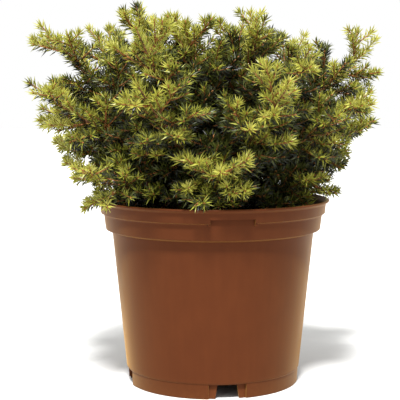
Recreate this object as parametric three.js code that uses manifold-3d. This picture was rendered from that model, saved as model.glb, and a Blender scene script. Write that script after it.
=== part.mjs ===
// Potted dwarf Norway spruce: a nest-shaped shrub, wider than tall, in a moulded nursery pot.
// Millimetres and degrees, +Z up. The origin is on the pot's axis, on the surface that it stands on.
// The plant's front faces -Y, and azimuths turn from the front towards +X.

import * as THREE from 'three';
import { mergeVertices } from 'three/addons/utils/BufferGeometryUtils.js';
import Module from 'manifold-3d';

const wasm = await Module();
wasm.setup();

// Driving dimensions

const CLEAR = 0.3; // gap between pieces that rest on or butt against each other
const SINK = 0.2; // how deep a block is sunk into the wall that it is fused to
const SEED = 41; // every seeded draw follows from it

// A 19 cm injection-moulded pot. Its collar has two bands, and its floor is raised on a foot ring.
const POT = {
  height: 150,
  sides: 30,
  wall: 1.6,
  footRadius: 69.8,
  footWidth: 2.6,
  shoulderHeight: 122.8,
  shoulderRadius: 82.4,
  undersideHeight: 124.9,
  undersideRadius: 87.1,
  cornerHeight: 126,
  lowerBandRadius: 87.8,
  stepHeight: 136.9,
  stepRadius: 89,
  upperBandHeight: 139.3,
  upperBandRadius: 91.6,
  upperBandDraft: 0.7,
  lipHeight: 146.7,
  lipFlare: 2.2,
  lipRadius: 95,
  lipWidth: 1.8,
  lipRound: 0.3,
  floorUnder: 12.5,
  floorThickness: 2,
};
// Four foot notches, each a shallow recess in the wall with a tapered opening through the foot ring.
// Over two of them, a window steps up into the upper band of the collar.
const OPENINGS = { count: 4, azimuth: 9, windowEvery: 2 };
const NOTCH = {
  height: 11.5,
  span: 24.7,
  recess: 1.8,
  footWidth: 19.2,
  topWidth: 15.4,
  backing: 4.4,
  backSpan: 30,
};
const WINDOW = { span: 21.7, rise: 2.7, backSpan: 24 };
const DRAIN = { radius: 6, ring: 46, depth: 8, sides: 10 };

const SOIL = {
  sides: 24,
  edgeHeight: 118,
  slopeRadius: 58,
  slopeHeight: 125.5,
  seatRadius: 14,
  seatHeight: 128,
};

const TRUNK = {
  height: 54,
  lean: -4,
  baseRadius: 6.4,
  tipRadius: 3.4,
  flare: 3.4,
  flareFade: 0.1,
  lobes: 3,
  lobeDepth: 0.3,
  sides: 10,
  steps: 7,
};

// Boughs leave the trunk in tiers, each on a stretch of its height. Reach is from the pot's axis to
// the tip, rise is the tip's height over the pot's lip, and arch lifts or sags the middle of the way.
const TIERS = [
  { name: 'skirt', count: 8, girth: 1, azimuth: -46, reach: 121, rise: 32, arch: 7, on: [0.16, 0.34] },
  { name: 'middle', count: 8, girth: 1, azimuth: -69, reach: 145, rise: 90, arch: -4, on: [0.4, 0.6] },
  { name: 'shoulder', count: 6, girth: 0.9, azimuth: -82, reach: 134, rise: 133, arch: -12, on: [0.66, 0.8] },
  { name: 'top', count: 4, girth: 0.7, azimuth: -107, reach: 62, rise: 153, arch: -6, on: [0.84, 0.98] },
];
const SCATTER = { azimuth: 5, reach: 6, rise: 5 };
// The arms that break the crown's outline keep sizes of their own.
const ARMS = {
  skirt_1: { azimuth: -56, reach: 127, rise: 22 },
  skirt_3: { azimuth: 89, reach: 122, rise: 62 },
  skirt_4: { azimuth: 76, reach: 93, rise: 16 },
  skirt_5: { azimuth: 126, rise: 32 },
  skirt_6: { azimuth: 196 },
  skirt_7: { azimuth: 250, reach: 142, rise: 46 },
  skirt_8: { azimuth: 270, reach: 138, rise: 73 },
  middle_1: { azimuth: -64, reach: 154, rise: 93 },
  middle_4: { reach: 134, rise: 86 },
  middle_5: { azimuth: 116, reach: 150, rise: 92 },
  middle_6: { azimuth: 166, reach: 139 },
  middle_7: { azimuth: 203, reach: 138 },
  middle_8: { rise: 96 },
  shoulder_1: { azimuth: -78, reach: 138, rise: 138 },
  shoulder_3: { reach: 122, rise: 117 },
  shoulder_4: { azimuth: 108, reach: 145, rise: 130 },
  shoulder_5: { azimuth: 142, reach: 136, rise: 137 },
  shoulder_6: { azimuth: -125, reach: 131, rise: 141 },
  top_1: { azimuth: -107, reach: 66, rise: 156 },
  top_2: { rise: 138 },
  top_3: { azimuth: 57, reach: 48, rise: 143 },
  top_4: { azimuth: 154, rise: 147 },
};

// A bough ends where it enters its mass, at this share of the way to the tip.
const BOUGH = { enter: 0.36, sides: 5, steps: 3, baseRadius: 2.2, endRadius: 1.7 };

// The mass goes on from there: one stem, bare at first, with side shoots in a loose spray.
const STEM = { steps: 9, rootRadius: 1.7, baseRadius: 1.7, tipRadius: 0.6, bare: 0.2 };
const SHOOT = {
  count: 6,
  first: 0.05,
  last: 0.84,
  length: 47,
  lengthScatter: 0.15,
  taper: 0.45,
  shrink: 0.88,
  shortest: 14,
  steps: 4,
  spread: 52,
  spreadScatter: 9,
  turn: 137.5,
  flatten: 0.7,
  lift: 0.1,
  rootRadius: 0.4,
  baseRadius: 1.25,
  tipRadius: 0.5,
  bare: 0.1,
};
// Each needle stands for a tuft, so it is a little longer and much stouter than a real one.
const TWIG_SIDES = 4;
const NEEDLE = { out: 12, forward: 8, tip: 6, margin: 1, twigGap: 2.5 };

// Materials

const finish = (color, roughness) => new THREE.MeshStandardMaterial({ color, roughness, metalness: 0 });
const TERRACOTTA_PLASTIC = finish(0x7e432b, 0.45);
const COMPOST = finish(0x1d1612, 0.95);
const BARK = finish(0x6b4a33, 0.85);
const NEEDLES = finish(0x6d7a2c, 0.6);

// Small helpers

const UP = new THREE.Vector3(0, 0, 1);
const radians = THREE.MathUtils.degToRad;
const mix = THREE.MathUtils.lerp;

// A repeatable stream of numbers from 0 to 1.
function seeded(seed) {
  let state = seed | 0;
  return () => {
    state = (state + 0x6d2b79f5) | 0;
    let t = Math.imul(state ^ (state >>> 15), 1 | state);
    t = (t + Math.imul(t ^ (t >>> 7), 61 | t)) ^ t;
    return ((t ^ (t >>> 14)) >>> 0) / 4294967296;
  };
}

const around = (draw, amount) => (2 * draw() - 1) * amount;

// A closed geometry as a solid that can be joined and cut.
function solid(geometry) {
  const bare = new THREE.BufferGeometry().setAttribute('position', geometry.getAttribute('position'));
  const merged = mergeVertices(bare.setIndex(geometry.index));
  const corners = [];
  for (let i = 0; i < merged.index.count; i += 3) {
    const [a, b, c] = [0, 1, 2].map((k) => merged.index.getX(i + k));
    if (a !== b && b !== c && c !== a) corners.push(a, b, c);
  }
  const vertProperties = merged.getAttribute('position').array;
  const triVerts = new Uint32Array(corners);
  return new wasm.Manifold(new wasm.Mesh({ numProp: 3, vertProperties, triVerts }));
}

// The largest body of a solid, with sealed hollows filled and loose scraps dropped.
function wholeBody(joined) {
  return joined.decompose().reduce((best, body) => (body.volume() > best.volume() ? body : best));
}

function mesh(name, joined, material) {
  const { vertProperties, triVerts } = joined.getMesh();
  const geometry = new THREE.BufferGeometry()
    .setAttribute('position', new THREE.BufferAttribute(vertProperties, 3))
    .setIndex(new THREE.BufferAttribute(triVerts, 1));
  geometry.computeVertexNormals();
  const made = new THREE.Mesh(geometry, material);
  made.name = name;
  return made;
}

// A point at a ring along a curve, out from its axis at an angle and forward along it.
function pointOff(curve, frames, ring, angle, { out, forward = 0 }) {
  return curve.getPointAt(ring / (frames.tangents.length - 1))
    .addScaledVector(frames.normals[ring], out * Math.sin(angle))
    .addScaledVector(frames.binormals[ring], -out * Math.cos(angle))
    .addScaledVector(frames.tangents[ring], forward);
}

// A unit cylinder bent along a curve. offset(ring, side) gives how far a vertex stands out and
// forward, and tip is how far the middle of the end cap is drawn forward.
function bentCylinder(curve, sides, steps, offset, tip = 0) {
  const geometry = new THREE.CylinderGeometry(1, 1, 1, sides, steps);
  const frames = curve.computeFrenetFrames(steps);
  const position = geometry.getAttribute('position');
  const turn = (2 * Math.PI) / sides;
  const vertex = new THREE.Vector3();
  for (let i = 0; i < position.count; i++) {
    vertex.fromBufferAttribute(position, i);
    const ring = Math.round((vertex.y + 0.5) * steps);
    const side = (Math.round(Math.atan2(vertex.x, vertex.z) / turn) + sides) % sides;
    const onAxis = Math.hypot(vertex.x, vertex.z) < 0.5;
    const off = onAxis ? { out: 0, forward: ring === steps ? tip : 0 } : offset(ring, side);
    position.setXYZ(i, ...pointOff(curve, frames, ring, side * turn, off));
  }
  return geometry;
}

// The stretch of a quadratic curve from one parameter to another.
function stretch(curve, from, to) {
  const control = new THREE.Vector3()
    .addScaledVector(curve.v0, (1 - from) * (1 - to))
    .addScaledVector(curve.v1, (1 - from) * to + from * (1 - to))
    .addScaledVector(curve.v2, from * to);
  return new THREE.QuadraticBezierCurve3(curve.getPoint(from), control, curve.getPoint(to));
}

// Pot

function lathe(outline, sides) {
  const points = outline.map(([radius, height]) => new THREE.Vector2(radius, height));
  return solid(new THREE.LatheGeometry(points, sides).rotateX(Math.PI / 2));
}

// A block between two radii and two heights that spans an angle about an azimuth.
function sector(inner, outer, low, high, azimuth, span) {
  const [start, end] = [-0.5, 0.5].map((k) => radians(azimuth - 90 + k * span));
  const plan = new THREE.Shape();
  plan.absarc(0, 0, outer, start, end, false);
  plan.absarc(0, 0, inner, end, start, true);
  const options = { depth: high - low, bevelEnabled: false, curveSegments: 3 };
  return solid(new THREE.ExtrudeGeometry(plan, options).translate(0, 0, low));
}

// The opening of a foot notch, narrower at its top.
function notchOpening(azimuth) {
  const plan = new THREE.Shape([
    new THREE.Vector2(-NOTCH.footWidth / 2, -CLEAR),
    new THREE.Vector2(NOTCH.footWidth / 2, -CLEAR),
    new THREE.Vector2(NOTCH.topWidth / 2, NOTCH.height),
    new THREE.Vector2(-NOTCH.topWidth / 2, NOTCH.height),
  ]);
  const opening = new THREE.ExtrudeGeometry(plan, { depth: 3 * NOTCH.backing, bevelEnabled: false });
  opening.translate(0, 0, POT.footRadius - 2 * NOTCH.backing).rotateX(Math.PI / 2);
  return solid(opening.rotateZ(radians(azimuth)));
}

function drainHole(ring, azimuth) {
  const hole = new THREE.CylinderGeometry(DRAIN.radius, DRAIN.radius, DRAIN.depth, DRAIN.sides);
  hole.rotateX(Math.PI / 2);
  hole.translate(0, -ring, POT.floorUnder + POT.floorThickness / 2);
  return solid(hole.rotateZ(radians(azimuth)));
}

const wallRadius = (height) =>
  mix(POT.footRadius, POT.shoulderRadius, height / POT.shoulderHeight);
const floorTop = POT.floorUnder + POT.floorThickness;

function makePot() {
  const outside = [
    [POT.footRadius, 0],
    [POT.shoulderRadius, POT.shoulderHeight],
    [POT.undersideRadius, POT.undersideHeight],
    [POT.lowerBandRadius, POT.cornerHeight],
    [POT.stepRadius, POT.stepHeight],
    [POT.upperBandRadius, POT.upperBandHeight],
    [POT.upperBandRadius + POT.upperBandDraft, POT.lipHeight],
  ];
  const lip = [
    [POT.lipRadius, POT.lipHeight + POT.lipFlare],
    [POT.lipRadius - POT.lipRound, POT.height],
    [POT.lipRadius - POT.lipWidth, POT.height],
  ];
  const inside = outside.slice(1).reverse().map(([radius, height]) => [radius - POT.wall, height]);
  let pot = lathe([
    [0, POT.floorUnder],
    [wallRadius(POT.floorUnder) - POT.footWidth, POT.floorUnder],
    [POT.footRadius - POT.footWidth, 0],
    ...outside,
    ...lip,
    ...inside,
    [wallRadius(floorTop) - POT.wall, floorTop],
    [0, floorTop],
  ], POT.sides);
  const backing = [POT.footRadius - NOTCH.backing, POT.footRadius - 4 * SINK, 0, POT.floorUnder + SINK];
  const recess = [POT.footRadius - NOTCH.recess, POT.footRadius + NOTCH.backing, -CLEAR, NOTCH.height];
  const windowFace = POT.stepRadius + SINK;
  const windowTop = POT.upperBandHeight + WINDOW.rise;
  const backInside = windowFace - POT.wall;
  const backOutside = POT.upperBandRadius - POT.wall / 2;
  const back = [backInside, backOutside, POT.stepHeight, windowTop + POT.wall];
  const window = [windowFace, POT.lipRadius, POT.stepHeight, windowTop];
  for (let k = 0; k < OPENINGS.count; k++) {
    const azimuth = OPENINGS.azimuth + (360 * k) / OPENINGS.count;
    pot = pot
      .add(sector(...backing, azimuth, NOTCH.backSpan))
      .subtract(sector(...recess, azimuth, NOTCH.span))
      .subtract(notchOpening(azimuth))
      .subtract(drainHole(DRAIN.ring, azimuth));
    if (k % OPENINGS.windowEvery === 0) {
      pot = pot
        .add(sector(...back, azimuth, WINDOW.backSpan))
        .subtract(sector(...window, azimuth, WINDOW.span));
    }
  }
  return pot.subtract(drainHole(0, 0));
}

// Compost, mounded to a flat seat for the trunk

function makeCompost() {
  const low = floorTop + CLEAR;
  const edge = (height) => wallRadius(height) - POT.wall - 2 * CLEAR;
  return lathe([
    [0, low],
    [edge(low), low],
    [edge(SOIL.edgeHeight), SOIL.edgeHeight],
    [SOIL.slopeRadius, SOIL.slopeHeight],
    [SOIL.seatRadius, SOIL.seatHeight],
    [0, SOIL.seatHeight],
  ], SOIL.sides);
}

// Trunk: short, leaning a little, with a lobed root flare on the compost

const trunkFoot = new THREE.Vector3(0, 0, SOIL.seatHeight + CLEAR);
const trunkTop = trunkFoot.clone().add(new THREE.Vector3(TRUNK.lean, TRUNK.lean / 2, TRUNK.height));
const trunkAxis = new THREE.QuadraticBezierCurve3(
  trunkFoot,
  trunkFoot.clone().addScaledVector(UP, TRUNK.height / 2),
  trunkTop,
);

function makeTrunk(swell) {
  return solid(
    bentCylinder(trunkAxis, TRUNK.sides, TRUNK.steps, (ring, side) => {
      const along = ring / TRUNK.steps;
      const lobe = 1 + TRUNK.lobeDepth * Math.cos((2 * Math.PI * TRUNK.lobes * side) / TRUNK.sides);
      const flare = TRUNK.flare * lobe * Math.exp(-along / TRUNK.flareFade);
      return { out: mix(TRUNK.baseRadius, TRUNK.tipRadius, along) + flare + swell };
    }),
  );
}

// Boughs: the path of each runs from the trunk's axis to the tip of its mass

function makeBoughs() {
  const boughs = [];
  for (const tier of TIERS) {
    for (let k = 0; k < tier.count; k++) {
      const name = `${tier.name}_${k + 1}`;
      const draw = seeded(SEED + 100 * boughs.length);
      const size = {
        azimuth: tier.azimuth + (360 * k) / tier.count + around(draw, SCATTER.azimuth),
        reach: tier.reach + around(draw, SCATTER.reach),
        rise: tier.rise + around(draw, SCATTER.rise),
        ...ARMS[name],
      };
      const tip = new THREE.Vector3(0, -size.reach, POT.height + size.rise);
      tip.applyAxisAngle(UP, radians(size.azimuth));
      // Boughs climb the trunk in turn, every third one on, so that neighbours leave it well apart.
      const rank = ((3 * k) % tier.count) / tier.count;
      const start = trunkAxis.getPoint(mix(...tier.on, rank));
      const middle = start.clone().lerp(tip, 0.5).addScaledVector(UP, tier.arch);
      const path = new THREE.QuadraticBezierCurve3(start, middle, tip);
      boughs.push({ name, girth: tier.girth, path, draw });
    }
  }
  return boughs;
}

function makeBough({ path, girth }, trunkRoom) {
  const limb = bentCylinder(stretch(path, 0, BOUGH.enter), BOUGH.sides, BOUGH.steps, (ring) => ({
    out: girth * mix(BOUGH.baseRadius, BOUGH.endRadius, ring / BOUGH.steps),
  }));
  return wholeBody(solid(limb).subtract(trunkRoom));
}

// Room for the foliage: each mass keeps nearer to its own stem than to any other stem, and clear
// of the limbs, the pot and the compost

function segments(curve, count) {
  const points = curve.getSpacedPoints(count);
  return points.slice(1).map((point, i) => new THREE.Line3(points[i], point));
}

const nearest = new THREE.Vector3();
const gapTo = (lines, point) =>
  Math.min(...lines.map((line) => line.closestPointToPoint(point, true, nearest).distanceTo(point)));

function hitsPot(point, margin) {
  const radius = Math.hypot(point.x, point.y);
  const rimInside = POT.lowerBandRadius - POT.wall - margin;
  if (point.z > POT.height + margin || radius > POT.lipRadius + margin) return false;
  return radius > rimInside || point.z < SOIL.seatHeight + margin;
}

function makeRoom(boughs) {
  const stems = boughs.map(({ path }) => segments(stretch(path, BOUGH.enter, 1), 5));
  const limbs = boughs.map(({ path }) => segments(stretch(path, 0, BOUGH.enter), 4));
  const trunk = segments(trunkAxis, 3);
  return (own, point, margin) => {
    const toOwn = gapTo(stems[own], point);
    return (
      !hitsPot(point, margin) &&
      gapTo(trunk, point) > TRUNK.baseRadius + margin &&
      limbs.every((limb) => gapTo(limb, point) > BOUGH.baseRadius + margin) &&
      stems.every((stem, k) => k === own || gapTo(stem, point) > toOwn + 2 * margin)
    );
  };
}

// A four-sided twig with pairs of needles, each pair a quarter turn past the last.
function spray(axis, { steps, rootRadius, baseRadius, tipRadius, bare }, hasRoom) {
  const frames = axis.computeFrenetFrames(steps);
  const grows = (ring, side) => {
    if (ring <= bare * steps || ring >= steps || (side + ring) % 2 !== 0) return false;
    const root = axis.getPointAt(ring / steps);
    const end = pointOff(axis, frames, ring, (side * 2 * Math.PI) / TWIG_SIDES, NEEDLE);
    return [0.5, 1].every((share) => hasRoom(root.clone().lerp(end, share), NEEDLE.margin));
  };
  const offset = (ring, side) => {
    if (grows(ring, side)) return NEEDLE;
    return { out: ring === 0 ? rootRadius : mix(baseRadius, tipRadius, ring / steps) };
  };
  return bentCylinder(axis, TWIG_SIDES, steps, offset, NEEDLE.tip);
}

// The axis of a side shoot: it leaves the stem at an angle, turns round it by the golden angle
// and lifts towards its tip. One that has no room is shortened, and then left out.
function shootAxis(stem, k, firstTurn, draw, hasRoom) {
  const share = mix(SHOOT.first, SHOOT.last, (k + 0.5) / SHOOT.count);
  const base = stem.getPointAt(share);
  const ahead = stem.getTangentAt(share);
  const sideways = new THREE.Vector3().crossVectors(ahead, UP).normalize();
  const above = new THREE.Vector3().crossVectors(sideways, ahead);
  const turn = radians(firstTurn + k * SHOOT.turn);
  const spread = radians(SHOOT.spread + around(draw, SHOOT.spreadScatter));
  const aim = new THREE.Vector3()
    .addScaledVector(sideways, Math.cos(turn))
    .addScaledVector(above, SHOOT.flatten * Math.sin(turn))
    .multiplyScalar(Math.sin(spread))
    .addScaledVector(ahead, Math.cos(spread));
  let length = SHOOT.length * (1 - SHOOT.taper * share) * (1 + around(draw, SHOOT.lengthScatter));
  for (; length > SHOOT.shortest; length *= SHOOT.shrink) {
    const middle = base.clone().addScaledVector(aim, length / 2);
    const tip = base.clone().addScaledVector(aim, length).addScaledVector(UP, SHOOT.lift * length);
    const axis = new THREE.QuadraticBezierCurve3(base, middle, tip);
    const points = [0.4, 0.7, 1].map((at) => axis.getPoint(at));
    if (points.every((point) => hasRoom(point, NEEDLE.margin + SHOOT.baseRadius))) return axis;
  }
  return null;
}

function makeMass({ path, draw }, own, room) {
  const stem = stretch(path, BOUGH.enter + CLEAR / path.getLength(), 1);
  const firstTurn = 360 * draw();
  const shoots = [];
  for (let k = 0; k < SHOOT.count; k++) {
    const axis = shootAxis(stem, k, firstTurn, draw, (point, margin) => room(own, point, margin));
    if (axis) shoots.push(axis);
  }
  const twigs = [stem, ...shoots].map((axis) => segments(axis, 4));
  const hasRoom = (twig) => (point, margin) => {
    const free = twigs.every((other, k) => k === twig || gapTo(other, point) > NEEDLE.twigGap);
    return free && room(own, point, margin);
  };
  let mass = solid(spray(stem, STEM, hasRoom(0)));
  shoots.forEach((axis, k) => {
    mass = mass.add(solid(spray(axis, SHOOT, hasRoom(k + 1))));
  });
  return wholeBody(mass);
}

// The plant, put together from the pot up

const plant = new THREE.Group();
plant.name = 'potted_dwarf_norway_spruce';
plant.add(mesh('pot', makePot(), TERRACOTTA_PLASTIC));
plant.add(mesh('compost', makeCompost(), COMPOST));
plant.add(mesh('trunk', makeTrunk(0), BARK));

const boughs = makeBoughs();
const trunkRoom = makeTrunk(CLEAR);
const room = makeRoom(boughs);
boughs.forEach((bough, own) => {
  plant.add(mesh(`bough_${bough.name}`, makeBough(bough, trunkRoom), BARK));
  plant.add(mesh(`foliage_${bough.name}`, makeMass(bough, own, room), NEEDLES));
});

export default plant;
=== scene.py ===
import math

import bmesh
import bpy
import numpy as np
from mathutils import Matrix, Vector


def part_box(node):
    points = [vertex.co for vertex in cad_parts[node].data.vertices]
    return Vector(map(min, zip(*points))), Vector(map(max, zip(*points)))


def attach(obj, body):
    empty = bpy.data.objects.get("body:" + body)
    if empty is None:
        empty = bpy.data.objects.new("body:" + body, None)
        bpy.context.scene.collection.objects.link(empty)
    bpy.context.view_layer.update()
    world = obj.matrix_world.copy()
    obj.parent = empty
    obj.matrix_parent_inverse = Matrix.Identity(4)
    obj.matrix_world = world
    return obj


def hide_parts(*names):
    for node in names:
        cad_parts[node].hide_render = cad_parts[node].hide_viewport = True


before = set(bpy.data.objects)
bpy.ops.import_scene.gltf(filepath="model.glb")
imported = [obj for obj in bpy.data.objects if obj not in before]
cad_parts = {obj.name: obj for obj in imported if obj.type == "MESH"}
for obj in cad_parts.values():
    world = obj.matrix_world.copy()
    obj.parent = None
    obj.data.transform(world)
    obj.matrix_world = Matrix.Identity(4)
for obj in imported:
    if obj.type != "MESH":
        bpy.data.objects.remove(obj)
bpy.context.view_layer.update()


# Camera: the photograph's viewing angle, a little above the pot's rim and looking slightly down.
# It stands almost a metre in front of the plant and a finger's width to the left of its axis.
MM = 0.001
camera_place = Vector((-10.6, -945.4, 238.7)) * MM
camera_dip = math.radians(5.46)
camera_sensor, camera_lens = 36, 104.2
bpy.ops.object.select_all(action="DESELECT")
bpy.ops.object.camera_add(location=camera_place, rotation=(math.pi / 2 - camera_dip, 0, 0))
camera = bpy.context.object
camera.data.sensor_width = camera_sensor
camera.data.lens = camera_lens
bpy.context.scene.camera = camera


# Pot: a 19 cm nursery pot, injection-moulded in one piece from terracotta-coloured polypropylene.
# Its collar has two bands, its raised floor has five drain holes, its foot ring has a notch at each
# quarter, and at front and back the upper band's edge steps up in a window.
pot_sides = 144
pot_wall = 1.6
foot_radius, foot_width, foot_chamfer = 69.8, 2.6, (0.2, 0.5)
foot_line, foot_step = 12.0, 0.7
wall_rings = (14, 30, 50, 70, 90, 110)
shoulder_radius, shoulder_height = 82.4, 124.1
underside_radius, underside_height = 87.5, 125.7
band_radius, band_height = 87.8, 126.9
step_radius, step_height = 89.0, 136.8
ledge_radius, ledge_height = 91.6, 139.3
ledge_inset, ledge_drop = 0.2, 0.4
lip_radius, lip_height, lip_flare = 95.0, 146.7, 0.7
lip_roll = [(0.2, 1.7), (0, 2.5), (0.5, 3.2), (1.2, 3.3), (1.9, 2.8)]
inside_shifts = (-0.4, 0.6, 0.6, 0.8, 1.0, 0.6)
edge_round, edge_angle = 0.35, 28
floor_under, floor_top = 12.5, 14.5
notch_azimuths = [9, 99, 189, 279]
notch_height, notch_span, notch_recess, notch_backing = 11.5, 24.7, 1.8, 4.4
notch_foot_width, notch_top_width = 19.2, 15.4
backing_span, backing_set, backing_lift, backing_sink = 30, 0.8, 0.05, 0.2
cut_past, recess_past = 1, 4
window_azimuths = [9, 189]
window_span, window_rise, window_back_span, window_set = 21.7, 2.7, 24, 0.05
drain_radius, drain_ring, drain_sides, drain_depth = 6.0, 46.0, 32, 10
merge_gap = 0.001 * MM


def wall_radius(height):
    """The outside radius of the tapered wall."""
    return foot_radius + (shoulder_radius - foot_radius) * height / shoulder_height


def hollow_ledge(steps=5):
    """The hollow under the upper band, from the lower band's face out to the ledge."""
    turns = [math.pi / 2 * k / steps for k in range(steps + 1)]
    return [
        (
            ledge_radius - ledge_inset - (ledge_radius - ledge_inset - step_radius) * math.cos(turn),
            step_height + (ledge_height - ledge_drop - step_height) * math.sin(turn),
        )
        for turn in turns
    ]


def deselect_all():
    """Leaves nothing selected."""
    bpy.ops.object.select_all(action="DESELECT")


def edit(piece):
    """Puts one piece in edit mode with all of it selected."""
    deselect_all()
    piece.select_set(True)
    bpy.context.view_layer.objects.active = piece
    bpy.ops.object.mode_set(mode="EDIT")
    bpy.ops.mesh.select_all(action="SELECT")


def leave_edit():
    """Goes back from edit mode."""
    bpy.ops.object.mode_set(mode="OBJECT")


def select_faces(piece, wanted):
    """Selects the faces of a piece in edit mode that a test picks, and nothing else."""
    bpy.ops.mesh.select_all(action="DESELECT")
    for face in bmesh.from_edit_mesh(piece.data).faces:
        if wanted(face):
            face.select_set(True)


def apply_modifier(piece, kind, **settings):
    """Adds a modifier with its settings and applies it."""
    deselect_all()
    bpy.context.view_layer.objects.active = piece
    modifier = piece.modifiers.new(kind.title(), kind)
    for key, value in settings.items():
        setattr(modifier, key, value)
    bpy.ops.object.modifier_apply(modifier=modifier.name)


def join_pieces(pieces, name):
    """Joins pieces into the first of them."""
    deselect_all()
    for piece in pieces:
        piece.select_set(True)
    bpy.context.view_layer.objects.active = pieces[0]
    bpy.ops.object.join()
    pieces[0].name = pieces[0].data.name = name
    return pieces[0]


def cut_or_fuse(piece, tool, operation):
    """Cuts a tool shape out of a piece, or fuses it on, and removes the tool."""
    apply_modifier(piece, "BOOLEAN", object=tool, operation=operation, solver="EXACT")
    bpy.data.objects.remove(tool)


# The inside follows the collar's corners down, a wall's thickness in, each one shifted a little.
collar_corners = [
    (ledge_radius + lip_flare, lip_height),
    (ledge_radius, ledge_height),
    (step_radius, step_height),
    (band_radius, band_height),
    (underside_radius, underside_height),
    (shoulder_radius, shoulder_height),
]
inside_wall = [
    (radius - pot_wall, height + shift)
    for (radius, height), shift in zip(collar_corners, inside_shifts)
]
pot_outline = [
    (foot_radius - foot_width, 0),
    (foot_radius - foot_chamfer[0], 0),
    (foot_radius, foot_chamfer[1]),
    (wall_radius(foot_line) - foot_step, foot_line),
    (wall_radius(foot_line), foot_line + foot_step / 2),
    *[(wall_radius(height), height) for height in wall_rings],
    (shoulder_radius, shoulder_height),
    (underside_radius, underside_height),
    (band_radius, band_height),
    *hollow_ledge(),
    (ledge_radius, ledge_height),
    (ledge_radius + lip_flare, lip_height),
    *[(lip_radius - inward, lip_height + above) for inward, above in lip_roll],
    *inside_wall,
    (wall_radius(floor_top) - pot_wall, floor_top),
]
ring_radius, ring_height = wall_radius(floor_under) - foot_width, floor_under
deselect_all()
bpy.ops.mesh.primitive_circle_add(
    vertices=pot_sides, radius=ring_radius * MM, location=(0, 0, ring_height * MM))
pot = bpy.context.object
pot.name = pot.data.name = "nursery_pot"
bpy.ops.object.transform_apply()
edit(pot)
for radius, height in pot_outline:
    bpy.ops.mesh.extrude_region_move(TRANSFORM_OT_translate={"value": (0, 0, (height - ring_height) * MM)})
    grow = radius / ring_radius
    bpy.ops.transform.resize(value=(grow, grow, 1), center_override=(0, 0, 0))
    ring_radius, ring_height = radius, height
bpy.ops.mesh.edge_face_add()
bpy.ops.mesh.select_all(action="DESELECT")
shell = bmesh.from_edit_mesh(pot.data)
shell.verts.ensure_lookup_table()
for vertex in shell.verts[:pot_sides]:
    vertex.select_set(True)
shell.select_flush(True)
bpy.ops.mesh.edge_face_add()
bpy.ops.mesh.select_all(action="SELECT")
bpy.ops.mesh.normals_make_consistent(inside=False)
leave_edit()
apply_modifier(
    pot, "BEVEL", width=edge_round * MM, segments=2,
    limit_method="ANGLE", angle_limit=math.radians(edge_angle))


def turn_to(piece, azimuth):
    """Turns a piece made at the front of the pot round to an azimuth."""
    deselect_all()
    piece.select_set(True)
    bpy.context.view_layer.objects.active = piece
    piece.rotation_euler.z = math.radians(azimuth)
    bpy.ops.object.transform_apply()
    return piece


def sector_block(inner, outer, low, high, span, azimuth):
    """A block between two radii and two heights, spun clockwise through an angle about an azimuth."""
    middle = Vector((0, -(inner + outer) / 2, (low + high) / 2)) * MM
    deselect_all()
    bpy.ops.mesh.primitive_plane_add(size=1, location=middle, rotation=(0, math.pi / 2, 0))
    block = bpy.context.object
    block.scale = ((high - low) * MM, (outer - inner) * MM, 1)
    bpy.ops.object.transform_apply()
    edit(block)
    bpy.ops.mesh.spin(steps=8, angle=math.radians(span), center=(0, 0, 0), axis=(0, 0, 1))
    bpy.ops.mesh.select_all(action="SELECT")
    bpy.ops.mesh.remove_doubles(threshold=merge_gap)
    bpy.ops.mesh.normals_make_consistent(inside=False)
    leave_edit()
    return turn_to(block, azimuth + span / 2)


def notch_opening(azimuth):
    """The cut of a foot notch's opening, narrower at its top."""
    deselect_all()
    bpy.ops.mesh.primitive_cube_add(size=1)
    opening = bpy.context.object
    opening.scale = (notch_foot_width * MM, 3 * notch_backing * MM, (notch_height + cut_past) * MM)
    opening.location = (0, (notch_backing / 2 - foot_radius) * MM, (notch_height - cut_past) / 2 * MM)
    bpy.ops.object.transform_apply()
    edit(opening)
    select_faces(opening, lambda face: face.normal.z > 0.5)
    bpy.ops.transform.resize(value=(notch_top_width / notch_foot_width, 1, 1), center_override=(0, 0, 0))
    leave_edit()
    return turn_to(opening, azimuth)


def drain_plug(ring, azimuth):
    """The cut of a drain hole in the floor, at a distance from the pot's axis."""
    deselect_all()
    place = (0, -ring * MM, (floor_under + floor_top) / 2 * MM)
    bpy.ops.mesh.primitive_cylinder_add(
        vertices=drain_sides, radius=drain_radius * MM, depth=drain_depth * MM, location=place)
    plug = bpy.context.object
    bpy.ops.object.transform_apply()
    return turn_to(plug, azimuth)


# Behind each notch and window the wall is thickened first, so that the cut leaves a full wall there.
window_face = step_radius + window_set
window_top = ledge_height + window_rise
backings = [
    sector_block(
        foot_radius - notch_backing, foot_radius - backing_set,
        backing_lift, floor_under + backing_sink, backing_span, azimuth)
    for azimuth in notch_azimuths
]
recesses = [
    sector_block(
        foot_radius - notch_recess, foot_radius + recess_past,
        -cut_past, notch_height, notch_span, azimuth)
    for azimuth in notch_azimuths
]
openings = [notch_opening(azimuth) for azimuth in notch_azimuths]
drains = [drain_plug(drain_ring, azimuth) for azimuth in notch_azimuths] + [drain_plug(0, 0)]
window_backs = [
    sector_block(
        window_face - pot_wall, ledge_radius - backing_set,
        step_height, window_top + pot_wall, window_back_span, azimuth)
    for azimuth in window_azimuths
]
windows = [
    sector_block(
        window_face, lip_radius, step_height - backing_sink, window_top, window_span, azimuth)
    for azimuth in window_azimuths
]
cut_or_fuse(pot, join_pieces(backings, "backings"), "UNION")
cut_or_fuse(pot, join_pieces(recesses, "recesses"), "DIFFERENCE")
cut_or_fuse(pot, join_pieces(openings + drains, "openings"), "DIFFERENCE")
cut_or_fuse(pot, join_pieces(window_backs, "window_backs"), "UNION")
cut_or_fuse(pot, join_pieces(windows, "windows"), "DIFFERENCE")


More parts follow.
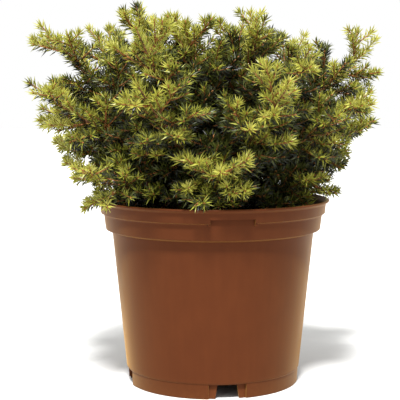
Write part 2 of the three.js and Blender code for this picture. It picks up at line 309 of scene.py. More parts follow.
def linear(code):
    """An sRGB hex colour as linear RGBA."""
    values = [int(code[k:k + 2], 16) / 255 for k in (1, 3, 5)]
    return [v / 12.92 if v <= 0.04045 else ((v + 0.055) / 1.055) ** 2.4 for v in values] + [1.0]


def new_material(name, colour, roughness, ior):
    """A material with its shader's plain values, and its node tree and shader."""
    material = bpy.data.materials.new(name)
    material.use_nodes = True
    shader = material.node_tree.nodes["Principled BSDF"]
    shader.inputs["Base Color"].default_value = linear(colour)
    shader.inputs["Roughness"].default_value = roughness
    shader.inputs["IOR"].default_value = ior
    return material, material.node_tree, shader


def add_node(tree, kind, links=(), inputs=(), **settings):
    """Adds a node, with its settings, its input values and its links from other nodes' sockets."""
    node = tree.nodes.new(kind)
    for key, value in settings.items():
        setattr(node, key, value)
    for key, value in dict(inputs).items():
        node.inputs[key].default_value = value
    for key, socket in dict(links).items():
        tree.links.new(socket, node.inputs[key])
    return node


def finish_piece(piece, material, nodes=(), smooth_angle=None):
    """Gives a piece its material, shading and body, and the nodes it stands for."""
    piece.data.materials.clear()
    piece.data.materials.append(material)
    deselect_all()
    piece.select_set(True)
    bpy.context.view_layer.objects.active = piece
    if smooth_angle is None:
        bpy.ops.object.shade_smooth()
    else:
        bpy.ops.object.shade_smooth_by_angle(angle=math.radians(smooth_angle))
    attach(piece, "root")
    if nodes:
        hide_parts(*nodes)


# Moulded polypropylene: an even, satin skin with a fine mould grain of about half a millimetre. It is
# faintly mottled, drags a little lighter down the draft of the mould, has dust at the foot, and takes
# a warm pale sheen where it turns away.
mottle_size, drag_size, drag_stretch = 18, 5, 0.06
dust_height, dust_cover, speck_size = 16, 0.3, 3
grain_size, grain_depth = 0.6, 0.1
polypropylene, tree, shader = new_material("moulded_polypropylene", "#4e2713", 0.42, 1.49)
shader.inputs["Specular IOR Level"].default_value = 0.05
shader.inputs["Sheen Weight"].default_value = 0.42
shader.inputs["Sheen Roughness"].default_value = 0.36
shader.inputs["Sheen Tint"].default_value = linear("#ffc86c")
place = add_node(tree, "ShaderNodeTexCoord").outputs["Object"]
mottle = add_node(tree, "ShaderNodeTexNoise", {"Vector": place}, {
    "Scale": 1 / (mottle_size * MM), "Detail": 4.0})
drawn = add_node(tree, "ShaderNodeMapping", {"Vector": place}, {"Scale": (1, 1, drag_stretch)})
drag = add_node(tree, "ShaderNodeTexNoise", {"Vector": drawn.outputs[0]}, {
    "Scale": 1 / (drag_size * MM), "Detail": 3.0})
patch = add_node(
    tree, "ShaderNodeMath", {0: mottle.outputs["Fac"], 1: drag.outputs["Fac"]}, operation="ADD")
patch_mean = add_node(tree, "ShaderNodeMath", {0: patch.outputs[0]}, {1: 0.5}, operation="MULTIPLY")
ramp = add_node(tree, "ShaderNodeValToRGB", {"Fac": patch_mean.outputs[0]})
ramp.color_ramp.elements[0].position = 0.3
ramp.color_ramp.elements[0].color = linear("#4b2512")
ramp.color_ramp.elements[1].position = 0.7
ramp.color_ramp.elements[1].color = linear("#512914")
height = add_node(tree, "ShaderNodeSeparateXYZ", {"Vector": place}).outputs["Z"]
low_down = add_node(tree, "ShaderNodeMapRange", {"Value": height}, {
    "From Min": 0.0, "From Max": dust_height * MM, "To Min": dust_cover, "To Max": 0.0})
specks = add_node(tree, "ShaderNodeTexNoise", {"Vector": place}, {
    "Scale": 1 / (speck_size * MM), "Detail": 6.0})
dust = add_node(
    tree, "ShaderNodeMath", {0: low_down.outputs[0], 1: specks.outputs["Fac"]}, operation="MULTIPLY")
skin = add_node(tree, "ShaderNodeMix", {
    "Factor": dust.outputs[0], "A": ramp.outputs["Color"]}, {"B": linear("#7a4c28")}, data_type="RGBA")
tree.links.new(skin.outputs["Result"], shader.inputs["Base Color"])
gloss = add_node(tree, "ShaderNodeMapRange", {"Value": patch.outputs[0]}, {
    "From Min": 0.6, "From Max": 1.4, "To Min": 0.37, "To Max": 0.48})
tree.links.new(gloss.outputs[0], shader.inputs["Roughness"])
grain = add_node(tree, "ShaderNodeTexNoise", {"Vector": place}, {
    "Scale": 1 / (grain_size * MM), "Detail": 2.0})
relief = add_node(tree, "ShaderNodeBump", {"Height": grain.outputs["Fac"]}, {
    "Strength": 0.12, "Distance": grain_depth * MM})
tree.links.new(relief.outputs[0], shader.inputs["Normal"])
finish_piece(pot, polypropylene, ["pot"], smooth_angle=30)


# Compost: moist peat compost, filled to just under the rim and mounded to the trunk's foot.
# It is crumbly, so lumps raise its surface and loose crumbs lie on it.
compost_bottom, compost_edge, mound_height = floor_top + 0.3, 118.0, 128.0
compost_slack = pot_wall + 0.6
compost_sides, compost_cuts = 96, 15
mound_curve, mound_edge = 2.2, 0.005
lump_size, lump_height, lump_level, lump_fade = 7, 5, 0.62, 8
random = np.random.default_rng(41)
edge_radius = wall_radius(compost_edge) - compost_slack
bottom_radius = wall_radius(compost_bottom) - compost_slack


def mound_over_edge(share):
    """How far the mound stands over its edge, at a share of the way from the edge to the middle."""
    return (mound_height - compost_edge) * (1 - (1 - share) ** mound_curve)


deselect_all()
bpy.ops.mesh.primitive_cylinder_add(
    vertices=compost_sides, radius=edge_radius * MM, depth=(compost_edge - compost_bottom) * MM,
    end_fill_type="TRIFAN", location=(0, 0, (compost_edge + compost_bottom) / 2 * MM))
compost = bpy.context.object
compost.name = compost.data.name = "compost_fill"
bpy.ops.object.transform_apply()
edit(compost)
select_faces(compost, lambda face: face.normal.z < -0.5)
narrow = bottom_radius / edge_radius
bpy.ops.transform.resize(value=(narrow, narrow, 1), center_override=(0, 0, 0))
select_faces(compost, lambda face: face.normal.z > 0.5)
bpy.ops.mesh.subdivide(number_cuts=compost_cuts)
leave_edit()
surface = compost.vertex_groups.new(name="surface")
for vertex in compost.data.vertices:
    share = 1 - math.hypot(vertex.co.x, vertex.co.y) / (edge_radius * MM)
    if vertex.co.z > (compost_edge - 0.1) * MM and share > mound_edge:
        vertex.co.z += mound_over_edge(share) * MM
        surface.add([vertex.index], min(1, share * lump_fade), "REPLACE")
lumps = bpy.data.textures.new("compost_lumps", "CLOUDS")
lumps.noise_scale = lump_size * MM
lumps.noise_depth = 3
apply_modifier(
    compost, "DISPLACE", texture=lumps, strength=lump_height * MM, mid_level=lump_level,
    vertex_group="surface")


def joined_mesh(name, points, triangles):
    """An object of one mesh, made from arrays of points and triangles."""
    mesh = bpy.data.meshes.new(name)
    mesh.vertices.add(len(points))
    mesh.vertices.foreach_set("co", np.asarray(points, np.float32).ravel())
    mesh.loops.add(3 * len(triangles))
    mesh.loops.foreach_set("vertex_index", np.asarray(triangles, np.int32).ravel())
    mesh.polygons.add(len(triangles))
    mesh.polygons.foreach_set("loop_start", np.arange(0, 3 * len(triangles), 3, dtype=np.int32))
    mesh.update(calc_edges=True)
    mesh.validate()
    piece = bpy.data.objects.new(name, mesh)
    bpy.context.scene.collection.objects.link(piece)
    return piece


def copies(shape_points, shape_triangles, count):
    """The triangles of a shape repeated so many times, one copy after another."""
    steps = np.arange(count)[:, None, None] * len(shape_points)
    return (np.asarray(shape_triangles)[None] + steps).reshape(-1, 3)


# Each loose crumb is a small lump with eight faces, knocked out of shape.
crumb_shape = np.array([(1, 0, 0), (0, 1, 0), (-1, 0, 0), (0, -1, 0), (0, 0, 1), (0, 0, -1)], float)
crumb_faces = [(0, 1, 4), (1, 2, 4), (2, 3, 4), (3, 0, 4), (1, 0, 5), (2, 1, 5), (3, 2, 5), (0, 3, 5)]
crumb_count, crumb_reach = 2600, 0.985
crumb_rise, crumb_rise_scatter = 0.2, 0.8
crumb_least, crumb_more, crumb_flat, crumb_full = 0.7, 1.5, 0.6, 0.8
crumb_radius = edge_radius * np.sqrt(random.random(crumb_count)) * crumb_reach
crumb_azimuth = random.random(crumb_count) * 2 * math.pi
crumb_share = 1 - crumb_radius / edge_radius
crumb_centre = np.stack([
    crumb_radius * np.cos(crumb_azimuth),
    crumb_radius * np.sin(crumb_azimuth),
    compost_edge + mound_over_edge(crumb_share) + random.normal(crumb_rise, crumb_rise_scatter, crumb_count),
], 1)
crumb_size = crumb_least + crumb_more * random.random((crumb_count, 1, 1)) ** 3
crumb_knocks = crumb_flat + crumb_full * random.random((crumb_count, len(crumb_shape), 3))
crumb_points = (crumb_shape[None] * crumb_size * crumb_knocks + crumb_centre[:, None]) * MM
crumb_triangles = copies(crumb_shape, crumb_faces, crumb_count)
crumbs = joined_mesh("compost_crumbs", crumb_points.reshape(-1, 3), crumb_triangles)

# Peat compost: near black and matte when moist, with brown fibre showing between the lumps.
fibre_size = 4
peat, tree, shader = new_material("moist_peat_compost", "#1d1612", 0.92, 1.4)
place = add_node(tree, "ShaderNodeTexCoord").outputs["Object"]
fibre = add_node(tree, "ShaderNodeTexNoise", {"Vector": place}, {
    "Scale": 1 / (fibre_size * MM), "Detail": 8.0})
ramp = add_node(tree, "ShaderNodeValToRGB", {"Fac": fibre.outputs["Fac"]})
ramp.color_ramp.elements[0].position = 0.38
ramp.color_ramp.elements[0].color = linear("#120d0a")
ramp.color_ramp.elements[1].position = 0.72
ramp.color_ramp.elements[1].color = linear("#3a2a1f")
tree.links.new(ramp.outputs["Color"], shader.inputs["Base Color"])
relief = add_node(
    tree, "ShaderNodeBump", {"Height": fibre.outputs["Fac"]}, {"Strength": 0.7, "Distance": 1 * MM})
tree.links.new(relief.outputs[0], shader.inputs["Normal"])
finish_piece(compost, peat, ["compost"], smooth_angle=40)
finish_piece(crumbs, peat)


# Trunk and boughs: the short leaning trunk flares into the compost, and the boughs leave it in four
# tiers, each on a path that runs on through its mass to the tip. Their bark is thin and scaly.
seed = 41
trunk_foot = np.array((0, 0, 128.3))
trunk_height, trunk_lean = 54.0, -4.0
trunk_radius, trunk_tip_radius, trunk_flare, flare_fade = 6.4, 3.4, 3.4, 0.1
root_lobes, lobe_depth = 3, 0.3
tiers = {
    "skirt": dict(count=8, girth=1, azimuth=-46, reach=121, rise=32, arch=7, on=(0.16, 0.34)),
    "middle": dict(count=8, girth=1, azimuth=-69, reach=145, rise=90, arch=-4, on=(0.4, 0.6)),
    "shoulder": dict(count=6, girth=0.9, azimuth=-82, reach=134, rise=133, arch=-12, on=(0.66, 0.8)),
    "top": dict(count=4, girth=0.7, azimuth=-107, reach=62, rise=153, arch=-6, on=(0.84, 0.98)),
}
scatter = dict(azimuth=5, reach=6, rise=5)
arms = {
    "skirt_1": dict(azimuth=-56, reach=127, rise=22),
    "skirt_3": dict(azimuth=89, reach=122, rise=62),
    "skirt_4": dict(azimuth=76, reach=93, rise=16),
    "skirt_5": dict(azimuth=126, rise=32),
    "skirt_6": dict(azimuth=196),
    "skirt_7": dict(azimuth=250, reach=142, rise=46),
    "skirt_8": dict(azimuth=270, reach=138, rise=73),
    "middle_1": dict(azimuth=-64, reach=154, rise=93),
    "middle_4": dict(reach=134, rise=86),
    "middle_5": dict(azimuth=116, reach=150, rise=92),
    "middle_6": dict(azimuth=166, reach=139),
    "middle_7": dict(azimuth=203, reach=138),
    "middle_8": dict(rise=96),
    "shoulder_1": dict(azimuth=-78, reach=138, rise=138),
    "shoulder_3": dict(reach=122, rise=117),
    "shoulder_4": dict(azimuth=108, reach=145, rise=130),
    "shoulder_5": dict(azimuth=142, reach=136, rise=137),
    "shoulder_6": dict(azimuth=-125, reach=131, rise=141),
    "top_1": dict(azimuth=-107, reach=66, rise=156),
    "top_2": dict(rise=138),
    "top_3": dict(azimuth=57, reach=48, rise=143),
    "top_4": dict(azimuth=154, rise=147),
}
pot_lip = 150.0
bough_enter, bough_radius, bough_end_radius, bough_overlap = 0.36, 2.2, 1.7, 0.01
trunk_sides, bough_sides, limb_ring = 40, 16, 1.2
scale_size, furrow_size = 2.6, 4
trunk_relief = dict(scales=0.8, furrows=1.0)
bough_relief = dict(scales=0.3, furrows=0.5)
up = np.array((0, 0, 1.0))
curve_steps = np.linspace(0, 1, 201)


def seeded(start):
    """A repeatable stream of numbers from 0 to 1."""
    state = start

    def draw():
        nonlocal state
        state = (state + 0x6D2B79F5) & 0xFFFFFFFF
        mixed = (state ^ state >> 15) * (1 | state) & 0xFFFFFFFF
        mixed ^= mixed + ((mixed ^ mixed >> 7) * (61 | mixed) & 0xFFFFFFFF) & 0xFFFFFFFF
        return (mixed ^ mixed >> 14) / 2 ** 32

    return draw


def around(draw, amount):
    """A random amount, up to so much either way."""
    return (2 * draw() - 1) * amount


def mix(start, end, share):
    """The value or point at a share of the way between two."""
    return start + (end - start) * share


def unit(vectors):
    """Vectors brought to a length of one."""
    return vectors / np.linalg.norm(vectors, axis=-1, keepdims=True)


def on_curve(curve, at):
    """Points of a quadratic curve at its parameter."""
    at = np.asarray(at, float)[..., None]
    return (1 - at) ** 2 * curve[0] + 2 * at * (1 - at) * curve[1] + at ** 2 * curve[2]


def heading(curve, at):
    """Unit directions of a quadratic curve at its parameter."""
    at = np.asarray(at, float)[..., None]
    return unit((1 - at) * (curve[1] - curve[0]) + at * (curve[2] - curve[1]))


def step_lengths(curve):
    """The lengths of the many small steps along a quadratic curve."""
    return np.linalg.norm(np.diff(on_curve(curve, curve_steps), axis=0), axis=1)


def even(curve, shares):
    """The parameters that lie at shares of a curve's length."""
    lengths = np.concatenate([[0], np.cumsum(step_lengths(curve))])
    return np.interp(np.asarray(shares) * lengths[-1], lengths, curve_steps)


def length_of(curve):
    """The length of a quadratic curve."""
    return step_lengths(curve).sum()


def stretch(curve, start, end):
    """The stretch of a quadratic curve from one parameter to another."""
    control = (1 - start) * (1 - end) * curve[0]
    control = control + (start * (1 - end) + end * (1 - start)) * curve[1] + start * end * curve[2]
    return np.array([on_curve(curve, start), control, on_curve(curve, end)])


trunk_top = trunk_foot + (trunk_lean, trunk_lean / 2, trunk_height)
trunk_axis = np.array([trunk_foot, trunk_foot + up * trunk_height / 2, trunk_top])
boughs = []
for tier_name, tier in tiers.items():
    for k in range(tier["count"]):
        name = f"{tier_name}_{k + 1}"
        draw = seeded(seed + 100 * len(boughs))
        size = dict(
            azimuth=tier["azimuth"] + 360 * k / tier["count"] + around(draw, scatter["azimuth"]),
            reach=tier["reach"] + around(draw, scatter["reach"]),
            rise=tier["rise"] + around(draw, scatter["rise"]),
        )
        size.update(arms.get(name, {}))
        azimuth = math.radians(size["azimuth"])
        outward = np.array((math.sin(azimuth), -math.cos(azimuth), 0))
        tip = outward * size["reach"] + up * (pot_lip + size["rise"])
        rank = (3 * k) % tier["count"] / tier["count"]
        start = on_curve(trunk_axis, mix(*tier["on"], rank))
        path = np.array([start, (start + tip) / 2 + up * tier["arch"], tip])
        boughs.append(dict(name=name, girth=tier["girth"], path=path, draw=draw))


def limb_mesh(name, curve, radii, sides):
    """A limb drawn as a curve with round ends, its thickness set along the way, made a mesh."""
    deselect_all()
    bpy.ops.curve.primitive_bezier_curve_add()
    limb = bpy.context.object
    limb.name = name
    spline = limb.data.splines[0]
    first, last = spline.bezier_points
    first.co, last.co = Vector(curve[0] * MM), Vector(curve[2] * MM)
    for point in (first, last):
        point.handle_left_type = point.handle_right_type = "FREE"
    first.handle_right = Vector(mix(curve[0], curve[1], 2 / 3) * MM)
    last.handle_left = Vector(mix(curve[2], curve[1], 2 / 3) * MM)
    first.handle_left = first.co * 2 - first.handle_right
    last.handle_right = last.co * 2 - last.handle_left
    first.radius, last.radius = radii
    limb.data.dimensions = "3D"
    limb.data.resolution_u = max(12, int(length_of(curve) / limb_ring))
    limb.data.bevel_depth = MM
    limb.data.bevel_resolution = sides // 4 - 1
    limb.data.use_fill_caps = True
    bpy.ops.object.convert(target="MESH")
    limb = bpy.context.object
    edit(limb)
    bpy.ops.mesh.remove_doubles(threshold=merge_gap)
    bpy.ops.mesh.normals_make_consistent(inside=False)
    leave_edit()
    return limb


trunk = limb_mesh("trunk_bark", trunk_axis, (trunk_radius, trunk_tip_radius), trunk_sides)
for vertex in trunk.data.vertices:
    rise = (vertex.co.z / MM - trunk_foot[2]) / trunk_height
    lobe = 1 + lobe_depth * math.cos(root_lobes * math.atan2(vertex.co.y, vertex.co.x))
    spread = trunk_flare * lobe * math.exp(-max(rise, 0) / flare_fade)
    radius = math.hypot(vertex.co.x, vertex.co.y) / MM
    grow = 1 + spread * min(1, radius / trunk_radius) / max(radius, 0.1)
    vertex.co.x *= grow
    vertex.co.y *= grow
bough_limbs = [
    limb_mesh(
        "bough_" + bough["name"],
        stretch(bough["path"], 0.0, bough_enter + bough_overlap),
        (bough_radius * bough["girth"], bough_end_radius * bough["girth"]),
        bough_sides,
    )
    for bough in boughs
]
bough_bark = join_pieces(bough_limbs, "boughs_bark")
bark_scales = bpy.data.textures.new("bark_scales", "VORONOI")
bark_scales.noise_scale = scale_size * MM
bark_scales.distance_metric = "DISTANCE"
bark_furrows = bpy.data.textures.new("bark_furrows", "CLOUDS")
bark_furrows.noise_scale = furrow_size * MM
bark_furrows.noise_depth = 4
for limb, depths in ((trunk, trunk_relief), (bough_bark, bough_relief)):
    apply_modifier(limb, "DISPLACE", texture=bark_scales, strength=depths["scales"] * MM, mid_level=0.5)
    apply_modifier(limb, "DISPLACE", texture=bark_furrows, strength=depths["furrows"] * MM, mid_level=0.5)

# Spruce bark: thin grey-brown scales of two to three millimetres over a redder layer, quite matte.
blotch_size, scale_depth = 6, 0.5
bark, tree, shader = new_material("scaly_spruce_bark", "#6b4a33", 0.85, 1.45)
place = add_node(tree, "ShaderNodeTexCoord").outputs["Object"]
flakes = add_node(tree, "ShaderNodeTexVoronoi", {"Vector": place}, {"Scale": 1 / (scale_size * MM)})
blotches = add_node(tree, "ShaderNodeTexNoise", {"Vector": place}, {
    "Scale": 1 / (blotch_size * MM), "Detail": 6.0})
blend = add_node(tree, "ShaderNodeMath", {
    0: flakes.outputs["Distance"], 1: blotches.outputs["Fac"]}, operation="MULTIPLY")
ramp = add_node(tree, "ShaderNodeValToRGB", {"Fac": blend.outputs[0]})
ramp.color_ramp.elements[0].position = 0.05
ramp.color_ramp.elements[0].color = linear("#8a6244")
ramp.color_ramp.elements[1].position = 0.45
ramp.color_ramp.elements[1].color = linear("#3e2a1d")
tree.links.new(ramp.outputs["Color"], shader.inputs["Base Color"])
relief = add_node(tree, "ShaderNodeBump", {"Height": blend.outputs[0]}, {
    "Strength": 0.6, "Distance": scale_depth * MM}, invert=True)
tree.links.new(relief.outputs[0], shader.inputs["Normal"])
bough_nodes = ["bough_" + bough["name"] for bough in boughs]
finish_piece(trunk, bark, ["trunk"], smooth_angle=60)
finish_piece(bough_bark, bark, bough_nodes, smooth_angle=60)


# Twigs: each mass goes on from its bough as one stem with side shoots, and these carry short twigs
# by the same rule, out to the mass's own reach. Each ends in a bud, and young wood is orange-brown.
stem_gap = 0.3
golden_angle = 137.5
shoot = dict(
    count=6, first=0.05, last=0.84, length=47, length_scatter=0.15, taper=0.45, shrink=0.88, shortest=14,
    spread=52, spread_scatter=9, turn=golden_angle, flatten=0.7, lift=0.1, base_radius=1.25,
)
inner = dict(
    count=13, first=0.1, last=0.7, length=46, length_scatter=0.25, taper=0.3, shrink=0.85, shortest=14,
    spread=58, spread_scatter=14, turn=golden_angle, flatten=0.9, lift=0.1,
)
twig = dict(
    spacing=4.6, first=0.14, last=0.86, length=23, length_scatter=0.25, taper=0.62, shrink=0.85, shortest=6,
    spread=48, spread_scatter=12, turn=golden_angle, flatten=0.28, lift=0.08,
)
needle_margin, reach_margin, pot_margin, trunk_margin = 1.0, 4, 2, 10
axis_radii = dict(
    stem=(1.7, 0.5), shoot=(1.3, 0.5), inner=(1.15, 0.5), twig=(0.7, 0.4), inner_twig=(0.7, 0.4),
)
axis_bare = dict(stem=0.26, shoot=0.2, inner=0.2, twig=0.12, inner_twig=0.12)
probes = [0.4, 0.7, 1.0]


def segments(curve, count):
    """The ends of so many straight pieces that follow a curve."""
    points = on_curve(curve, even(curve, np.linspace(0, 1, count + 1)))
    return points[:-1], points[1:]


def gap_to(lines, points):
    """The distance from each point to the nearest of some straight pieces."""
    starts, ends = lines
    ways = ends - starts
    shares = np.einsum("psk,sk->ps", points[:, None] - starts[None], ways) / (ways ** 2).sum(1)
    feet = starts + np.clip(shares, 0, 1)[..., None] * ways
    return np.linalg.norm(points[:, None] - feet, axis=2).min(1)


def clear_of_pot(points, margin):
    """True for points that keep clear of the pot's rim and of the compost."""
    radius = np.hypot(points[:, 0], points[:, 1])
    outside = (points[:, 2] > pot_lip + margin) | (radius > lip_radius + margin)
    within = (radius < band_radius - pot_wall - margin) & (points[:, 2] > mound_height + margin)
    return outside | within


stems = [stretch(b["path"], bough_enter + stem_gap / length_of(b["path"]), 1) for b in boughs]
stem_lines = [segments(stretch(b["path"], bough_enter, 1), 5) for b in boughs]
limb_lines = [segments(stretch(b["path"], 0, bough_enter), 4) for b in boughs]
trunk_lines = segments(trunk_axis, 3)


def has_room(own, points, margin):
    """True if all points keep nearer their own stem than any other, and clear of limbs and pot."""
    to_own = gap_to(stem_lines[own], points)
    free = clear_of_pot(points, margin) & (gap_to(trunk_lines, points) > trunk_radius + margin)
    for lines in limb_lines:
        free &= gap_to(lines, points) > bough_radius + margin
    for other, lines in enumerate(stem_lines):
        if other != own:
            free &= gap_to(lines, points) > to_own + 2 * margin
    return free.all()


def in_crown(points):
    """True if all points keep clear of the pot and of the trunk."""
    return clear_of_pot(points, pot_margin).all() and (gap_to(trunk_lines, points) > trunk_margin).all()


def side_axis(parent, share, turn, rule, draw, fits):
    """The axis of a side shoot or twig, shortened until it fits, or None if it never does."""
    at = even(parent, share)
    base, ahead = on_curve(parent, at), heading(parent, at)
    sideways = unit(np.cross(ahead, up))
    above = np.cross(sideways, ahead)
    turn = math.radians(turn)
    spread = math.radians(rule["spread"] + around(draw, rule["spread_scatter"]))
    aim = sideways * math.cos(turn) + above * rule["flatten"] * math.sin(turn)
    aim = aim * math.sin(spread) + ahead * math.cos(spread)
    length = rule["length"] * (1 - rule["taper"] * share) * (1 + around(draw, rule["length_scatter"]))
    while length > rule["shortest"]:
        axis = np.array([base, base + aim * length / 2, base + aim * length + up * rule["lift"] * length])
        if fits(on_curve(axis, probes)):
            return axis
        length *= rule["shrink"]
    return None


# Every axis of the crown: its curve and its kind, and for those with twigs where a twig may go.
axes = []
for own, (bough, stem) in enumerate(zip(boughs, stems)):
    draw = bough["draw"]
    path = bough["path"]
    lowest, highest = (np.array(corner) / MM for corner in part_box("foliage_" + bough["name"]))

    def in_reach(points):
        """True if all points lie in the crown and within the mass's own box."""
        inside = (points > lowest + reach_margin) & (points < highest - reach_margin)
        return inside.all() and in_crown(points)

    mass = [dict(curve=stem, kind="stem", fits=in_reach)]
    first_turn = 360 * draw()
    shoot_room = needle_margin + shoot["base_radius"]
    for k in range(shoot["count"]):
        share = mix(shoot["first"], shoot["last"], (k + 0.5) / shoot["count"])
        axis = side_axis(
            stem, share, first_turn + k * shoot["turn"], shoot, draw,
            lambda points: has_room(own, points, shoot_room))
        if axis is not None:
            mass.append(dict(curve=axis, kind="shoot", fits=in_reach))
    first_turn = 360 * draw()
    for k in range(inner["count"]):
        share = mix(inner["first"], inner["last"], (k + 0.5) / inner["count"])
        axis = side_axis(path, share, first_turn + k * inner["turn"], inner, draw, in_crown)
        if axis is not None:
            mass.append(dict(curve=axis, kind="inner", fits=in_crown))
    axes += mass
    for parent in mass:
        count = int(length_of(parent["curve"]) * (twig["last"] - twig["first"]) / twig["spacing"])
        turn = 360 * draw()
        for k in range(count):
            share = mix(twig["first"], twig["last"], (k + 0.5) / count)
            axis = side_axis(parent["curve"], share, turn + k * twig["turn"], twig, draw, parent["fits"])
            if axis is not None:
                kind = "inner_twig" if parent["kind"] == "inner" else "twig"
                axes.append(dict(curve=axis, kind=kind))


# A little off upright, so that it is never in line with an axis that grows straight up.
off_upright = up + (0.013, 0.007, 0)


def tube(curve, radii, sides, steps):
    """The points and triangles of a tapering tube along a curve, closed at both ends."""
    at = even(curve, np.linspace(0, 1, steps + 1))
    centres, ahead = on_curve(curve, at), heading(curve, at)
    first = unit(np.cross(ahead, off_upright))
    second = np.cross(ahead, first)
    turns = np.arange(sides) * 2 * math.pi / sides
    spokes = first[:, None] * np.cos(turns)[:, None] + second[:, None] * np.sin(turns)[:, None]
    radius = np.linspace(*radii, steps + 1)[:, None, None]
    points = np.concatenate([(centres[:, None] + spokes * radius).reshape(-1, 3), centres[[0, -1]]])
    triangles = []
    for ring in range(steps):
        for side in range(sides):
            a, b = ring * sides + side, ring * sides + (side + 1) % sides
            triangles += [(a, b, b + sides), (a, b + sides, a + sides)]
    butt, end = len(points) - 2, len(points) - 1
    for side in range(sides):
        a, b = side, (side + 1) % sides
        triangles += [(butt, b, a), (end, steps * sides + a, steps * sides + b)]
    return points, np.array(triangles)


def gather(parts):
    """Points and triangles of many shapes as one array of each."""
    starts = np.cumsum([0] + [len(points) for points, _ in parts])
    points = np.concatenate([points for points, _ in parts])
    triangles = np.concatenate([triangles + start for (_, triangles), start in zip(parts, starts)])
    return points * MM, triangles


# Sides and steps of each kind of axis.
tube_shape = dict(stem=(8, 14), shoot=(6, 8), inner=(6, 8), twig=(4, 3), inner_twig=(4, 3))
old_wood, young_wood = [], []
for axis in axes:
    kind = axis["kind"]
    wood = old_wood if kind == "stem" else young_wood
    wood.append(tube(axis["curve"], axis_radii[kind], *tube_shape[kind]))
stem_wood = joined_mesh("stem_twigs", *gather(old_wood))
shoot_wood = joined_mesh("young_twigs", *gather(young_wood))


stain_size, peg_depth = 9, 0.2


def pegged_bark(name, hollow, ridge, peg_size, roughness):
    """Bark of thin wood: the needles' pegs leave pale ridges, with darker hollows between them."""
    material, tree, shader = new_material(name, ridge, roughness, 1.45)
    place = add_node(tree, "ShaderNodeTexCoord").outputs["Object"]
    pegs = add_node(tree, "ShaderNodeTexVoronoi", {"Vector": place}, {"Scale": 1 / (peg_size * MM)})
    stain = add_node(tree, "ShaderNodeTexNoise", {"Vector": place}, {
        "Scale": 1 / (stain_size * MM), "Detail": 3.0})
    blend = add_node(tree, "ShaderNodeMath", {
        0: pegs.outputs["Distance"], 1: stain.outputs["Fac"]}, operation="MULTIPLY")
    ramp = add_node(tree, "ShaderNodeValToRGB", {"Fac": blend.outputs[0]})
    ramp.color_ramp.elements[0].position = 0.08
    ramp.color_ramp.elements[0].color = linear(ridge)
    ramp.color_ramp.elements[1].position = 0.42
    ramp.color_ramp.elements[1].color = linear(hollow)
    tree.links.new(ramp.outputs["Color"], shader.inputs["Base Color"])
    relief = add_node(tree, "ShaderNodeBump", {"Height": blend.outputs[0]}, {
        "Strength": 0.5, "Distance": peg_depth * MM}, invert=True)
    tree.links.new(relief.outputs[0], shader.inputs["Normal"])
    return material


# Bark of two-year stems, dull brown, and of this year's shoots, smooth orange-brown.
finish_piece(stem_wood, pegged_bark("two_year_twig_bark", "#573720", "#8c5f38", 1.6, 0.75))
finish_piece(shoot_wood, pegged_bark("young_twig_bark", "#663d1b", "#a56a33", 1.1, 0.6))


# Winter buds: one at the end of every stem, shoot and twig, small and pointed, closed in dry red-brown
# scales. Each is a short cone that swells in its middle and sits a little way into the wood.
bud_length, bud_sunk, bud_base_radius, bud_tip_radius, bud_swell = 3.2, 0.6, 0.665, 0.15, 1.9
bud_sides, bud_steps = 5, 2
bud_middle = slice(bud_sides, 2 * bud_sides)
bud_parts = []
for axis in axes:
    end, ahead = on_curve(axis["curve"], 1.0), heading(axis["curve"], 1.0)
    bud_curve = np.array([end - ahead * bud_sunk, end + ahead * bud_length / 2, end + ahead * bud_length])
    points, triangles = tube(bud_curve, (bud_base_radius, bud_tip_radius), bud_sides, bud_steps)
    points[bud_middle] = mix(points[bud_middle].mean(0), points[bud_middle], bud_swell)
    bud_parts.append((points, triangles))
buds = joined_mesh("winter_buds", *gather(bud_parts))
# Bud scales: papery, overlapping, with a slight shine.
finish_piece(buds, pegged_bark("bud_scales", "#6e431e", "#a06a35", 0.7, 0.5))


# Needles: stiff and pointed, seven to eight millimetres long, thickest before their middle. They stand
# all round the twigs by the golden angle, lean forward, and ring the bud at the tip like a star. Each
# is made with three sides, and a little stouter than life, as there are fewer than on the living plant.
needle_length, needle_radius, needle_waist, needle_sides = 7.6, 0.6, 0.42, 3
needle_lift, needle_tilt, needle_bend, needle_gap = 0.2, 0.01, 0.05, 0.5
turn_scatter, lean_scatter, length_scatter = 0.25, 6, 0.1
needle_pitch = dict(stem=0.7, shoot=0.68, inner=0.68, twig=0.66, inner_twig=0.66)
needle_lean, star_lean = (68, 55), (80, 20)
star_pitch, star_reach, star_share, star_end_length = 0.18, 2.5, 0.3, 0.85
needle_turn = math.radians(golden_angle)
needle_faces = np.array([(1, 2, 0), (2, 3, 0), (3, 1, 0), (2, 1, 4), (3, 2, 4), (1, 3, 4)])
# From young needles at the lit tips outside to aged needles inside the crown: the darkening inwards is
# partly their age and partly painted shade.
tints = {
    "fresh_and_lit": "#a9a648",
    "light": "#9b9939",
    "middle": "#8a8b2e",
    "deep_and_shaded": "#434915",
    "old_and_shaded": "#161a07",
}
tint_names = list(tints)
outside_tint, tint_depth, outside_share, tint_scatter, inner_painted_shade = 1.0, 5.0, 0.9, 0.6, 0.9
slope_scatter, slope_shade_steps, star_tints = 0.3, (-0.4, 0.1, 0.5), 2
deepest_start = 3
sprays = {name: [] for name in tints}


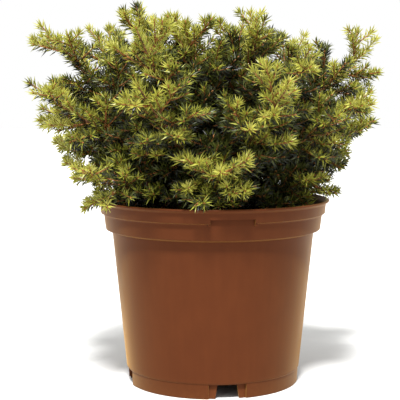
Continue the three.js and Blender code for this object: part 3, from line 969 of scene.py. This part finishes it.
def needle_spray(axis, start, end, pitch, lean, lengths):
    """The needles on one stretch of an axis, five points to each, and how far each one points up."""
    curve = axis["curve"]
    count = max(3, int(length_of(curve) * (end - start) / pitch))
    order = np.arange(count)
    shares = mix(start, end, (order + random.random(count)) / count)
    passed = (shares - start) / (end - start)
    at = even(curve, shares)
    root, ahead = on_curve(curve, at), heading(curve, at)
    sideways = unit(np.cross(ahead, off_upright))
    above = np.cross(sideways, ahead)
    turn = order * needle_turn + random.normal(0, turn_scatter, count)
    out = sideways * np.cos(turn)[:, None] + above * np.sin(turn)[:, None]
    angle = np.radians(mix(*lean, passed) + random.normal(0, lean_scatter, count))[:, None]
    aim = unit(ahead * np.cos(angle) + out * np.sin(angle) + up * needle_lift)
    length = (mix(*lengths, passed) * random.normal(1, length_scatter, count))[:, None]
    across = unit(np.cross(aim, out + up * needle_tilt))
    rise = np.cross(across, aim)
    bend = ahead * length * needle_bend
    points = np.empty((count, needle_sides + 2, 3))
    points[:, 0] = root
    for corner in range(needle_sides):
        turned = corner * 2 * math.pi / needle_sides
        spoke = across * math.cos(turned) + rise * math.sin(turned)
        points[:, corner + 1] = root + aim * length * needle_waist + spoke * needle_radius + bend
    points[:, -1] = root + aim * length + bend * 2
    kept = clear_of_pot(points[:, -1], needle_gap)
    return points[kept], aim[kept, 2]


# Needles are lighter the further out their twig ends in the crown's outline, partly as younger needles and
# partly as painted light and shade, and inner shoots take a further step of painted shade. On one twig the
# ones that hang are painted darker than the ones that stand up, as painted shade.
crown_heights, crown_radii = (150, 190, 240, 285, 311), (105, 128, 150, 140, 80)
even_lengths = (needle_length, needle_length)
star_lengths = (needle_length, needle_length * star_end_length)
for axis in axes:
    curve, kind = axis["curve"], axis["kind"]
    end = curve[2]
    sideways = math.hypot(end[0], end[1]) / np.interp(end[2], crown_heights, crown_radii)
    outness = max(sideways, (end[2] - pot_lip) / (crown_heights[-1] - pot_lip))
    shade = outside_tint + tint_depth * (outside_share - outness) + random.normal(0, tint_scatter)
    # Inner shoots take a further step of painted shade.
    if kind in ("inner", "inner_twig"):
        shade += inner_painted_shade
    tint = int(np.clip(round(shade), 0, deepest_start))
    tip_share = 1 - min(star_share, star_reach / length_of(curve))
    along, slopes = needle_spray(
        axis, axis_bare[kind], tip_share, needle_pitch[kind], needle_lean, even_lengths)
    star, _ = needle_spray(axis, tip_share, 1.0, star_pitch, star_lean, star_lengths)
    star_steps = random.integers(0, star_tints, len(star))
    # Needles that hang on their twig take darker tints, as painted shade.
    steps = np.digitize(random.normal(-slopes, slope_scatter), slope_shade_steps)
    for deeper in range(len(slope_shade_steps) + 1):
        spray = sprays[tint_names[min(tint + deeper, len(tint_names) - 1)]]
        spray.append(along[steps == deeper])
        spray.append(star[star_steps == deeper])

most_triangles = 190000
foliage_nodes = ["foliage_" + bough["name"] for bough in boughs]
for number, (name, parts) in enumerate(sprays.items()):
    points = np.concatenate(parts)
    batches = np.array_split(points, 1 + len(points) * len(needle_faces) // most_triangles)
    # Living needles: a waxy skin with a soft shine, in one plain colour for each step of age and painted
    # shade.
    green = new_material(f"spruce_needle_{name}", tints[name], 0.46, 1.45)[0]
    for batch, some in enumerate(batches):
        triangles = copies(range(needle_sides + 2), needle_faces, len(some))
        needles = joined_mesh(f"needles_{name}_{batch + 1}", some.reshape(-1, 3) * MM, triangles)
        # The first piece of needles stands for all the foliage nodes.
        nodes = foliage_nodes if number + batch == 0 else ()
        finish_piece(needles, green, nodes, smooth_angle=20)


# Studio: a plain pale floor under even white light, with a large soft lamp above and in front.
floor_size = 12
lamp_place, lamp_aim = Vector((-0.5, -0.8, 1.5)), Vector((0.06, 0.5, -0.85))
lamp_spread, lamp_strength, sky_strength = 10, 6.8, 1.0
deselect_all()
bpy.ops.mesh.primitive_plane_add(size=floor_size)
floor = bpy.context.object
floor.name = "studio_floor"
matte_white = new_material("matte_white_floor", "#d2d2d0", 0.9, 1.4)[0]
floor.data.materials.append(matte_white)
world = bpy.data.worlds.new("studio_white")
bpy.context.scene.world = world
world.use_nodes = True
sky = world.node_tree.nodes["Background"]
sky.inputs["Color"].default_value = (1, 1, 1, 1)
sky.inputs["Strength"].default_value = sky_strength
lamp_turn = lamp_aim.to_track_quat("-Z", "Y").to_euler()
bpy.ops.object.light_add(type="SUN", location=lamp_place, rotation=lamp_turn)
lamp = bpy.context.object
lamp.name = "soft_lamp"
lamp.data.angle = math.radians(lamp_spread)
lamp.data.energy = lamp_strength
bpy.context.scene.view_settings.view_transform = "Standard"
